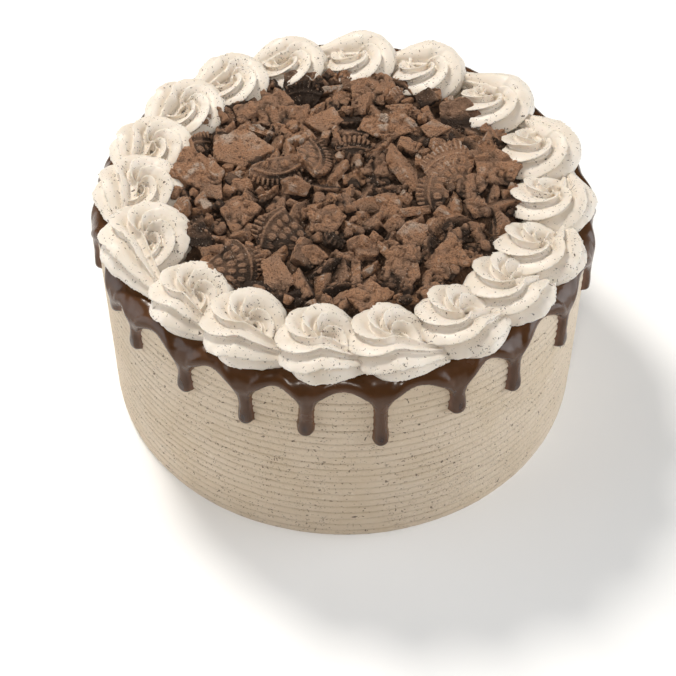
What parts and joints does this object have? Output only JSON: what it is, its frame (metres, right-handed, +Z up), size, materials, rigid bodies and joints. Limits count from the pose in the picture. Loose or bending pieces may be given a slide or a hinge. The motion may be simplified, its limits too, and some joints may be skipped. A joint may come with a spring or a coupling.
{
  "type": "cookies and cream layer cake",
  "caption": "Round frosted layer cake with a dripping chocolate coat, a ring of piped cream swirls and a heap of broken chocolate cookies on top.",
  "frame": {"origin": "middle of the flat underside of the cake", "axes": "+Z up, the cake's upright axis; -Y towards the side that faces the viewer"},
  "size_m": [0.2084, 0.2078, 0.1126],
  "materials": {
    "side_frosting": "matt combed frosting with fine dark crumbs",
    "chocolate_ganache": "glossy poured chocolate",
    "cookie": "dry rough baked cookie",
    "piped_cream": "soft satin whipped cream with fine dark crumbs"
  },
  "bodies": {
    "root": {"cake_body": "side_frosting", "ganache_drip": "chocolate_ganache", "cookie_heap": "cookie", "swirl_01": "piped_cream", "swirl_02": "piped_cream", "swirl_03": "piped_cream", "swirl_04": "piped_cream", "swirl_05": "piped_cream", "swirl_06": "piped_cream", "swirl_07": "piped_cream", "swirl_08": "piped_cream", "swirl_09": "piped_cream", "swirl_10": "piped_cream", "swirl_11": "piped_cream", "swirl_12": "piped_cream", "swirl_13": "piped_cream", "swirl_14": "piped_cream", "swirl_15": "piped_cream", "swirl_16": "piped_cream", "swirl_17": "piped_cream", "swirl_18": "piped_cream"}
  },
  "joints": []
}
